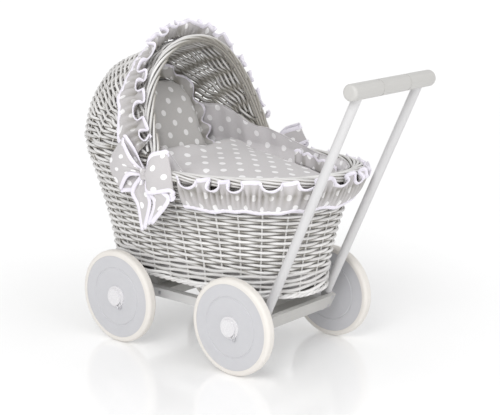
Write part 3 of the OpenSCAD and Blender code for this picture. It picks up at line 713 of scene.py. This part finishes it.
def rim_line(count, end_x, grow=0.0):
    """Points round the foot end of the rim, from one side at end_x to the other, and their angles."""
    half = RIM_HALF + grow
    stop = math.acos(spow((end_x - RIM_X) / RIM_HALF[0], RIM_N / 2))
    t = even_params(lambda t: np.stack(oval(*half, RIM_N, t), -1), -stop, stop, count)
    x, y = oval(*half, RIM_N, t)
    return np.stack([RIM_X + x, y, rim_top(RIM_X + x)], -1), t


def plait_rim():
    samples, sink, extra_h = 300, 3, 4.5
    centre, _ = rim_line(samples, RIM_END_X)
    centre[:, 2] -= RIM_H / 2 + sink
    frames = (centre, np.tile(UP, (samples, 1)), unit(np.cross(tangents(centre), UP)))
    half_w, half_h = RIM_W / 2, RIM_H / 2 + extra_h
    rolled_border(
        "rim_plait", frames, half_w, half_h, strand_r=2.6, present=7, pitch=36, replaces=["rim_border"]
    )


def plait_arch():
    start, extra = 3.0, 1
    v = np.linspace(start, 180 - start, 240)
    a = front_angle(v)
    centre = rib_pt(a, v, ARCH_SINK)
    out = unit(rib_pt(a, v, 1.0) - rib_pt(a, v))
    along = tangents(centre)
    side = unit(np.cross(along, out))
    up = np.cross(side, along)
    # the arch's feet stand on the basket's wall
    foot_y, foot_z = TOP_HALF[1] + ARCH_SINK, rim_top(PIVOT_X) - RIM_H + 1
    right, left = ([PIVOT_X + 2, s * foot_y, foot_z] for s in (1, -1))
    centre = np.concatenate([[right], centre, [left]])
    up, side = (np.concatenate([line[:1], line, line[-1:]]) for line in (up, side))
    share = even_steps(centre, 299)
    frames = [pick(line, share) for line in (centre, up, side)]
    half_w, half_h = ARCH_W / 2 + extra, ARCH_T / 2 + extra
    rolled_border(
        "arch_plait", frames, half_w, half_h, strand_r=2.7, present=5, pitch=34, replaces=["hood_border"]
    )


weave_basket()
weave_foot()
weave_hood()
plait_rim()
plait_arch()


# ---------- cloth ----------
def fold_phase(length, period, count, drift):
    """Phase of the folds along a gathered strip, a little uneven."""
    return 2 * np.pi * np.linspace(0, length / period, count) + wander(count, 5, drift)


def gathered_strip(name, lie_at, stand, sway, normal, lie_w, stand_w, period, amp, fullness, replaces):
    """A strip stitched along lie_at(0): one side lies flat out to lie_at(1), the other stands along stand and
    waves along sway, with a wave of size amp every period along the seam."""
    off_seam, belly, crease_pitch, rows_each_side = 2.4, 3.4, 11, 12
    base = lie_at(0.0)
    count = len(base)
    length = line_length(base)
    along = tangents(base)
    phase = fold_phase(length, period, count, 1.5)
    tuck = fold_phase(length, crease_pitch, count, 9.0)
    size = 1 + wander(count, 14, 0.38)
    depth = 0.66 + wander(count, 40, 0.34)
    creased = depth * (0.5 - 0.5 * np.sin(tuck)) ** 1.3
    slow = wander(count, 16, 1.0)
    tucked, waved = np.sin(tuck), np.cos(phase)
    rows, heights, folds = [], [], []
    # the lying side, from its edge to the seam
    for q in np.linspace(1, 0, rows_each_side):
        puff = 3.4 * depth * tucked * (1 - q) ** 0.7 + 2.2 * q * slow
        lift = off_seam + belly * np.sin(np.pi * q * 0.9) + puff
        rows.append(lie_at(q * (1 + 0.11 * slow)) + normal * lift[:, None])
        heights.append(-lie_w * q)
        # painted shade: darker towards the seam, under the standing side, and in the creases
        folds.append(0.36 * (1 - q) ** 1.6 + 0.75 * creased * (1 - q) ** 1.1)
    # the standing side, from just above the seam to its edge
    for q in np.linspace(0.1, 1, rows_each_side):
        wave = amp * q**1.15 * waved * size
        slide = 0.62 * amp * q * np.sin(2 * phase) * size
        dip = 0.12 * stand_w * q * (1 + np.cos(2 * phase + 0.6))
        fine = 3.0 * depth * tucked * (1 - q) ** 0.8
        rows.append(
            base
            + stand * (stand_w * q - dip)[:, None]
            + sway * wave[:, None]
            + along * slide[:, None]
            + normal * (off_seam + fine + 1.5 * q)[:, None]
        )
        heights.append(stand_w * q)
        # painted shade: darker near the seam, in the creases, and in each wave's hollow
        behind = smooth(-waved * size) * np.sin(np.pi * min(1.0, q * 1.1))
        folds.append(0.3 * (1 - q) ** 2 + 0.75 * creased * (1 - q) ** 1.2 + 0.5 * behind)
    grid = np.stack(rows)
    # more of the cloth goes into the hollows than shows on the ridges
    u = np.cumsum(1 - 0.42 * depth * tucked)
    u *= length * fullness / u[-1]
    piece = cloth_grid(name, grid, flat_grid(u, np.array(heights) + DOT_DROP), np.stack(folds))
    finish_piece(piece, dotted, replaces=replaces)
    edges = Strands(8)
    add_tape(edges, grid[0], grid[1], 5.0, 1.9)
    add_tape(edges, grid[-1], grid[-2])
    binding = finish_piece(edges.build(name + "_binding"), tape)


def make_rim_ruffle():
    count, start_x, inset = 900, 33.0, 5
    seam_drop, lie_w = 28.0, 34
    base, t = rim_line(count, start_x, RIM_W / 2 - inset)
    base[:, 2] -= seam_drop
    out = unit(np.cross(tangents(base), UP))
    # it hangs down over the wall, a little off the weave
    low = wall_pt(np.full(count, 0.77), t, 4.0)
    low[:, 2] = base[:, 2] - lie_w + 1
    gathered_strip(
        "rim_ruffle_cloth",
        lambda q: lerp(base, low, np.reshape(q, (-1, 1))),
        stand=unit(UP + 0.38 * out), sway=unit(UP - 0.6 * out), normal=out,
        lie_w=lie_w, stand_w=25, period=50, amp=8.5, fullness=1.45,
        replaces=["rim_ruffle"],
    )


def make_hood_ruffle():
    count, start = 900, 5.5
    stitch, lie_w, least_reach = 16.0, 34.0, 62
    v = even_params(lambda v: rib_pt(shell_front(v) - 8, v), start, 180 - start, count)

    def on_hood(back, e=0.0):
        """Points that lie back, in millimetres, behind the shell's front edge."""
        reach = hood_depth(60.0) * np.sin(np.radians(v)) ** (2 / RIB_N)
        return rib_pt(shell_front(v) - np.degrees(back / np.maximum(reach, least_reach)), v, e)

    out = unit(on_hood(stitch, 4.0) - on_hood(stitch))
    forward = unit(on_hood(stitch - 8) - on_hood(stitch))
    # it stands up more over the top than down the sides
    rise = (0.30 + 0.85 * np.sin(np.radians(v)) ** 3)[:, None]
    gathered_strip(
        "hood_ruffle_cloth",
        lambda q: on_hood(stitch + lie_w * q, 3.0),
        stand=unit(rise * out + 0.85 * forward), sway=unit(forward - 0.25 * out), normal=out,
        lie_w=lie_w, stand_w=31, period=41, amp=10.0, fullness=1.7,
        replaces=["hood_ruffle"],
    )


make_rim_ruffle()
make_hood_ruffle()

# Lining: it hangs inside the wall up to LINING_RIM, a share of its height, and stands above the rim from there
LINING_X = RIM_X
LINING_FOOT = np.array([214.0, 99.0])
LINING_TOP = np.array([265.0, 144.5])
LINING_RIM = 0.8


def lining_rise(x, y):
    """How far the lining's edge stands above the rim: on the left it is pressed down sooner."""
    end = np.where(y < 0, 34, 125)
    under_hood, beside_duvet = 36 + 34 * smooth((-32 - x) / 90), 36 * smooth((end - x) / (end + 32))
    return np.where(x < -32, under_hood, beside_duvet)


def lining_pt(k, t, e=0.0):
    s = np.minimum(1, k / LINING_RIM) ** FLARE
    up = np.maximum(0, k - LINING_RIM) / (1 - LINING_RIM)
    half_x, half_y = (lerp(LINING_FOOT[i], LINING_TOP[i], s) + e for i in (0, 1))
    px, y = oval(half_x, half_y, lerp(FOOT_N, RIM_N, s), t)
    x = LINING_X + px
    rise = lining_rise(x, y)
    edge_z = rim_top(x) - 2
    wall_z = lerp(SHELL_Z + 3, edge_z, np.minimum(k, LINING_RIM) / LINING_RIM)
    z = np.where(k < LINING_RIM, wall_z, edge_z + rise * up)
    # the standing part leans in over the bedding
    x = x - 0.08 * rise * up * np.sign(px) * np.abs(np.cos(t))
    return np.stack([x, y * (1 - 0.002 * rise * up), z], -1)


def make_lining():
    count, wall_rows, edge_rows = 420, 18, 12
    round_length, flat_height = 1300, 250
    t = even_params(lambda t: lining_pt(np.full(len(t), LINING_RIM), t), -np.pi, np.pi, count, 2001)
    ks = np.concatenate([np.linspace(0, LINING_RIM, wall_rows), np.linspace(LINING_RIM, 1, edge_rows + 1)[1:]])
    ripple = np.sin(fold_phase(round_length, 95, count, 1.5))
    crease = np.sin(fold_phase(round_length, 37, count, 2.5))
    grid = np.stack([
        lining_pt(np.full(count, k), t, -2.0 + 1.5 * ripple * smooth((k - 0.4) / 0.5) + 0.9 * crease * k)
        for k in ks
    ])
    run = running_length(lining_pt(np.full(count, LINING_RIM), t))
    uv = np.stack(np.broadcast_arrays(run[None, :], grid[..., 2]), -1)
    piece = cloth_grid("lining_cloth", grid, uv)
    finish_piece(piece, lit_lining_dotted, replaces=["lining"])
    hem = Strands(8)
    add_tape(hem, grid[-1], grid[-2], 1.5, 0.8)
    hem = finish_piece(hem.build("lining_hem"), grey_cotton)


make_lining()


# ---------- padded pieces ----------
def puffed(node, name, voxel, cap, shrink, pressure=4.0):
    """A copy of a CAD pad, remeshed and blown up a little by cloth simulation. It is first shrunk, and no
    point then moves further than cap."""
    obj = add_object(name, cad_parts[node].data.copy())
    bpy.context.view_layer.objects.active = obj
    remesh = obj.modifiers.new("remesh", "REMESH")
    remesh.mode = "VOXEL"
    remesh.voxel_size = voxel * MM
    smoothing = obj.modifiers.new("smooth", "SMOOTH")
    smoothing.iterations = 8
    inset = obj.modifiers.new("inset", "DISPLACE")
    inset.mid_level = 0
    inset.strength = -shrink * MM
    apply_all(obj)
    start = read_points(obj)
    cloth = obj.modifiers.new("cloth", "CLOTH").settings
    cloth.use_pressure = True
    cloth.uniform_pressure_force = pressure
    cloth.shrink_min = -0.04
    cloth.tension_stiffness = 12
    cloth.bending_stiffness = 0.3
    cloth.effector_weights.gravity = 0
    scene = bpy.context.scene
    for step in range(1, 21):
        scene.frame_set(step)
    apply_all(obj)
    scene.frame_set(1)
    move = read_points(obj) - start
    far = np.linalg.norm(move, axis=1, keepdims=True)
    write_points(obj, start + move * np.minimum(1, cap * MM / np.maximum(far, 1e-9)))
    shade_smooth(obj.data)
    return obj


def apply_all(obj):
    """Every modifier's result becomes the mesh."""
    shown = obj.evaluated_get(bpy.context.evaluated_depsgraph_get())
    mesh = bpy.data.meshes.new_from_object(shown)
    obj.modifiers.clear()
    obj.data = mesh


def read_points(obj):
    flat = np.zeros(len(obj.data.vertices) * 3)
    obj.data.vertices.foreach_get("co", flat)
    return flat.reshape(-1, 3)


def write_points(obj, points):
    obj.data.vertices.foreach_set("co", points.ravel())
    obj.data.update()


def finish_frill(name, grid, folds, length, width, fullness, material, tape_size, replaces=()):
    """A gathered frill on a grid of rows that starts at its seam, with a white binding on its free edge."""
    uv = flat_grid(np.linspace(0, length * fullness, grid.shape[1]), np.linspace(0, width, len(grid)))
    frill = cloth_grid(name + "_cloth", grid, uv, np.stack(folds))
    finish_piece(frill, material, replaces=replaces)
    edge = Strands(8)
    add_tape(edge, grid[-1], grid[-2], *tape_size)
    edge = finish_piece(edge.build(name + "_binding"), tape)


PILLOW_FOOT = np.array([-100.0, 0.0, 262.0])
PILLOW_LEAN = math.radians(22.3)
PILLOW_HALF = np.array([84.0, 107.5])
PILLOW_N = 3
PILLOW_UP = np.array([-math.sin(PILLOW_LEAN), 0.0, math.cos(PILLOW_LEAN)])
PILLOW_OUT = np.array([math.cos(PILLOW_LEAN), 0.0, math.sin(PILLOW_LEAN)])


def make_pillow():
    dots_aside, dots_up = 9, 4
    pillow = puffed("pillow", "pillow_case", voxel=5, cap=7, shrink=3)
    points = read_points(pillow) / MM - [MID_X, 0, 0]
    high = (points - PILLOW_FOOT) @ PILLOW_UP
    set_uv(pillow, np.stack([points[:, 1] + dots_aside, high + dots_up], -1))
    finish_piece(pillow, shaded_pillow_dotted, replaces=["pillow"])


def make_pillow_frill():
    """Gathered frill round the pillow's edge."""
    count, rows, width, fullness = 640, 10, 25.0, 1.5
    period, amp = 36, 8.5
    t = even_params(lambda t: np.stack(oval(*PILLOW_HALF, PILLOW_N, t), -1), 0, 2 * np.pi, count, 1441)
    y, h = oval(*PILLOW_HALF, PILLOW_N, t)
    centre = PILLOW_FOOT + PILLOW_UP * PILLOW_HALF[1]
    base = centre + np.stack([0 * y, y, 0 * y], -1) + PILLOW_UP * h[:, None]
    away = unit(base - centre)
    length = line_length(base)
    # a whole number of folds, so that the ends meet
    phase = fold_phase(length, period, count, 2.0)
    phase = phase * round(phase[-1] / (2 * np.pi)) * 2 * np.pi / phase[-1]
    grid, folds = [], []
    for q in np.linspace(0, 1, rows):
        # painted shade: darker in the hollows between the waves and towards the seam
        folds.append(smooth(-np.cos(phase)) * (0.85 - 0.45 * q) + 0.35 * (1 - q))
        wave = amp * q**0.8 * np.cos(phase)
        reach = 1 + width * q * (1 - 0.06 * np.cos(2 * phase))
        grid.append(base + away * reach[:, None] + PILLOW_OUT * wave[:, None])
    finish_frill(
        "pillow_frill", np.stack(grid), folds, length, width, fullness, shaded_pillow_dotted, (3.0, 1.1),
        ["pillow_frill"],
    )


# Duvet: its upper side falls towards the foot end, and its seam lies DUVET_EDGE below that
DUVET_Z, DUVET_FALL, DUVET_EDGE = 344.0, 0.1, 26.0
DUVET_HALF = np.array([244.6, 125.6])


def duvet_seam(x):
    return DUVET_Z - DUVET_FALL * x - DUVET_EDGE


def make_duvet():
    hollow_share, head_rise, head_x, head_y = 0.55, 14, -12, 30
    dots_along, dots_aside = 34, 49
    duvet = puffed("duvet", "duvet_cover", voxel=6, cap=3, shrink=2.0)
    points = read_points(duvet) / MM - [MID_X, 0, 0]
    # soft hollows where the filling has shifted, only on the upper side
    x, y = points[:, 0], points[:, 1]
    top = smooth((points[:, 2] - duvet_seam(x)) / 12)
    hollow = 2.4 * np.sin(x / 31 + 1.3 * np.sin(y / 47)) * np.sin(y / 38 + 0.7) + 1.2 * np.sin((x + y) / 17)
    points[:, 2] += top * hollow * hollow_share
    # the head end is plump where it meets the pillow, most on the left
    points[:, 2] += top * head_rise * smooth((head_x - x) / 55) * (0.55 + 0.45 * smooth((head_y - y) / 90))
    write_points(duvet, (points + [MID_X, 0, 0]) * MM)
    set_uv(duvet, np.stack([x - dots_along, y + dots_aside], -1))
    finish_piece(duvet, duvet_dotted, replaces=["duvet"])


def make_duvet_frill():
    """Narrow gathered frill that stands up round the foot end of the duvet."""
    count, rows, width, fullness = 500, 8, 24.0, 1.25
    near_end, far_end, period = -1.0, 1.29, 34
    t = even_params(lambda t: np.stack(oval(*DUVET_HALF, RIM_N, t), -1), near_end, far_end, count)
    x, y = oval(*DUVET_HALF, RIM_N, t)
    x = x + LINING_X
    base = np.stack([x, y, duvet_seam(x) + 4], -1)
    out = unit(np.cross(tangents(base), UP))
    length = line_length(base)
    phase = fold_phase(length, period, count, 2.0)
    # on the near side it is pressed down between the cover and the lining
    tall = width * lerp(0.55, 1.0, smooth((t + 0.6) / 0.6))
    grid, folds = [], []
    for q in np.linspace(0, 1, rows):
        # painted shade: darker in the hollows between the waves, less towards the free edge
        folds.append(0.6 * smooth(-np.cos(phase)) * (1 - 0.6 * q))
        step = 2 + 2 * q + 3.5 * q * np.cos(phase)
        rise = tall * q * (1 - 0.08 * np.cos(2 * phase))
        grid.append(base + out * step[:, None] + UP * rise[:, None])
    finish_frill(
        "duvet_frill", np.stack(grid), folds, length, width, fullness, dotted, (2.6, 1.0)
    )


def make_mattress():
    mattress = puffed("mattress", "mattress_pad", voxel=7, cap=3, shrink=1.5, pressure=2.0)
    finish_piece(mattress, ticking, replaces=["mattress"])


make_pillow()
make_pillow_frill()
make_duvet()
make_duvet_frill()
make_mattress()


# ---------- bows ----------
BOW_Y = 170.0
KNOT_X, KNOT_Z = -32.0, 331.0
KNOT_R, KNOT_H = 8.5, 10


def curve(points, count):
    """A smooth line through a few points, by Catmull-Rom segments."""
    p = np.array(points, float)
    p = np.concatenate([[2 * p[0] - p[1]], p, [2 * p[-1] - p[-2]]])
    s = np.linspace(0, len(p) - 3 - 1e-6, count)
    i, f = s.astype(int), (s % 1)[:, None]
    a, b, c, d = p[i], p[i + 1], p[i + 2], p[i + 3]
    return 0.5 * (2 * b + (c - a) * f + (2 * a - 5 * b + 4 * c - d) * f**2 + (3 * b - a - 3 * c + d) * f**3)


def bow_sheet(upper, lower, side, depth, pleats, rows=22, swell=0.0):
    """Cloth between two edge lines that leave the knot. Each line is its first point's offset from the knot
    and then (x, z) points. depth is the cloth's bulge off the basket, and swell how far its outer end bulges
    away from the knot."""
    count, gather_h = 36, 3.2
    a, b = (
        curve([(KNOT_X + first[0], KNOT_Z + first[1]), *others], count) for first, *others in (upper, lower)
    )
    k = np.linspace(0, 1, count)
    grid = []
    for q in np.linspace(0, 1, rows):
        line = lerp(a, b, q)
        line[:, 0] += swell * np.sin(np.pi * q) * k**1.5
        gather = gather_h * np.cos(2 * np.pi * pleats * q) * (1 - smooth(k / 0.75))
        bulge = depth * np.sin(np.pi * np.clip(k, 0, 1) * 0.92) * (0.55 + 0.45 * np.sin(np.pi * q))
        grid.append(np.stack([line[:, 0], side * (BOW_Y + bulge + gather), line[:, 1]], -1))
    return np.stack(grid)


def fold_over(front, back):
    """Joins a loop's front and back layers round its outer end."""
    turn = []
    for a, b in zip(front, back):
        out = unit(a[-1] - a[-4]) * np.linalg.norm(a[-1] - b[-1]) * 0.55
        s = np.linspace(0, np.pi, 9)[1:-1, None]
        turn.append(lerp(a[-1], b[-1], (1 - np.cos(s)) / 2) + out * np.sin(s))
    return np.concatenate([front, np.stack(turn), back[:, ::-1]], 1)


def bow_loops(side):
    """The loop towards the hood, and the one towards the foot end, which lies differently on each side."""
    hood_front = [(-4, 5), (-60, 354), (-84, 378)], [(-4, -3), (-68, 323), (-92, 296)]
    hood_back = [(-4, 8), (-58, 364), (-78, 388)], [(-4, -6), (-52, 300), (-90, 291)]
    if side < 0:
        foot_front = [(4, 6), (-14, 366), (12, 376)], [(4, -8), (-22, 299), (20, 307)]
        foot_back = [(4, 5), (-10, 360), (15, 370)], [(4, -8), (-18, 293), (24, 291)]
    else:
        foot_front = [(4, 6), (-8, 364), (30, 379)], [(4, -8), (0, 316), (48, 338)]
        foot_back = [(4, 5), (-6, 359), (33, 374)], [(4, -6), (6, 326), (52, 346)]
    front, back = bow_sheet(*hood_front, side, 11, 3, swell=-30), bow_sheet(*hood_back, side, -5, 3, swell=-26)
    hood_loop = fold_over(front, back)
    front, back = bow_sheet(*foot_front, side, 14, 2), bow_sheet(*foot_back, side, -3, 2)
    return [hood_loop, fold_over(front, back)]


def bow_tails(side):
    hood_tail = [(-6, 0), (-66, 296), (-54, 270), (-46, 227)], [(1, -4), (-27, 296), (-23, 276), (-37, 234)]
    foot_tail = [(0, -6), (-24, 300), (-14, 280), (-30, 242)], [(8, -6), (4, 306), (22, 292), (-20, 245)]
    return [bow_sheet(*hood_tail, side, 2, 2.5, 18), bow_sheet(*foot_tail, side, 5, 2.5, 18)]


def bow_knot(side):
    across, around = np.linspace(-1, 1, 15), np.linspace(0, 2 * np.pi, 25)
    r = KNOT_R * (1 - 0.25 * across**2) * (1 + 0.10 * np.cos(3 * np.pi * across))
    z = KNOT_Z + across * KNOT_H
    return np.stack([
        np.stack([KNOT_X + r * np.cos(q) * 0.95, side * (BOW_Y + 4 + r * np.sin(q)), z], -1) for q in around
    ])


def make_bow(side, name):
    """side is -1 on the left and 1 on the right."""
    ease, least_share = 1.05, 0.31
    bands = Strands(8)
    for i, grid in enumerate(bow_loops(side) + bow_tails(side)):
        u = running_length(grid[len(grid) // 2])
        width = float(np.linalg.norm(grid[0] - grid[-1], axis=1).max())
        uv = flat_grid(u, np.linspace(0, width, len(grid))) + 13 * i
        cloth = cloth_grid(f"{name}_{'loop' if i < 2 else 'tail'}_{i % 2}", grid, uv)
        piece = finish_piece(cloth, dotted, replaces=[name] if i == 0 else [])
        for edge, inner in ((grid[0], grid[1]), (grid[-1], grid[-2])):
            add_tape(bands, edge, inner)
        cells = np.cross(grid[1:, :-1] - grid[:-1, :-1], grid[:-1, 1:] - grid[:-1, :-1])
        area = float(np.linalg.norm(cells, axis=-1).sum()) * MM * MM
        flat = (width * MM, u[-1] * MM * ease)
        most = flat[0] * flat[1]
        area = float(np.clip(area, least_share * most, most))
    finish_piece(bands.build(name + "_binding"), tape)
    knot = bow_knot(side)
    uv = flat_grid(np.linspace(0, 20, knot.shape[1]), np.linspace(0, 50, len(knot))) + 3
    piece = finish_piece(cloth_grid(name + "_knot", knot, uv), dotted)


make_bow(-1, "bow_left")
make_bow(1, "bow_right")

# ---------- studio ----------
FLOOR_REACH, FLOOR_DROP = 40, 0.0005
floor_mesh = bpy.data.meshes.new("floor")
corners = [(x * FLOOR_REACH, y * FLOOR_REACH, 0) for x, y in ((-1, -1), (1, -1), (1, 1), (-1, 1))]
floor_mesh.from_pydata(corners, [], [(0, 1, 2, 3)])
floor = add_object("floor", floor_mesh)
floor.location.z = -FLOOR_DROP
floor_look = Nodes("floor")
floor_cloud = floor_look.noise(object_place(floor_look), 3.0)
floor_look.surface(
    floor_look.ramp(floor_cloud, (0.90, 0.90, 0.90), (0.93, 0.93, 0.93)), 0.12,
    **{"Emission Color": (1, 1, 1, 1)},
)
# the floor glows less near the pram, so that its shade and reflection show there
from_middle = floor_look.vector("LENGTH", object_place(floor_look), out=1)
floor_glow = floor_look.span(from_middle, 0.25, 0.95, 0.11, 0.21)
floor_look.put(floor_look.shader.inputs["Emission Strength"], floor_glow)
floor_mesh.materials.append(floor_look.owner)

# the studio's walls look pure white, and light the object less brightly than they look
WALL_LIGHT, WALL_WHITE = 0.66, 1.05
walls = Nodes("studio", "worlds", "Background")
seen = walls.node("ShaderNodeLightPath").outputs
looked_at = walls.math("MAXIMUM", seen["Is Camera Ray"], seen["Is Glossy Ray"])
walls.put(walls.shader.inputs["Strength"], walls.span(looked_at, 0.0, 1.0, WALL_LIGHT, WALL_WHITE))
walls.put(walls.shader.inputs["Color"], (1, 1, 1, 1))
bpy.context.scene.world = walls.owner


def area_light(name, place, aim_z, size, watts):
    """A square lamp that points at the pram's middle, at height aim_z."""
    data = bpy.data.lights.new(name, "AREA")
    data.size = size
    data.energy = watts
    lamp = add_object(name, data)
    lamp.location = place
    lamp.rotation_euler = (Vector((0, 0, aim_z)) - Vector(place)).to_track_quat("-Z", "Y").to_euler()


area_light("key", (1.0, -2.4, 1.9), aim_z=0.3, size=1.4, watts=38)
area_light("fill", (2.4, -0.3, 1.3), aim_z=0.35, size=1.4, watts=12)

CAMERA_PLACE = (1.5345 + MID_X * MM, -1.7702, 0.8074)
CAMERA_AZIMUTH, CAMERA_ELEVATION, CAMERA_ROLL = (math.radians(a) for a in (39.87, 13.50, 0.17))
camera_data = bpy.data.cameras.new("camera")
camera_data.lens = 96.35
camera_data.sensor_width = 36
camera = add_object("camera", camera_data)
camera.matrix_world = (
    Matrix.Translation(CAMERA_PLACE)
    @ Matrix.Rotation(CAMERA_AZIMUTH, 4, "Z")
    @ Matrix.Rotation(math.pi / 2 - CAMERA_ELEVATION, 4, "X")
    @ Matrix.Rotation(CAMERA_ROLL, 4, "Z")
)
bpy.context.scene.camera = camera
bpy.context.scene.view_settings.view_transform = "Standard"
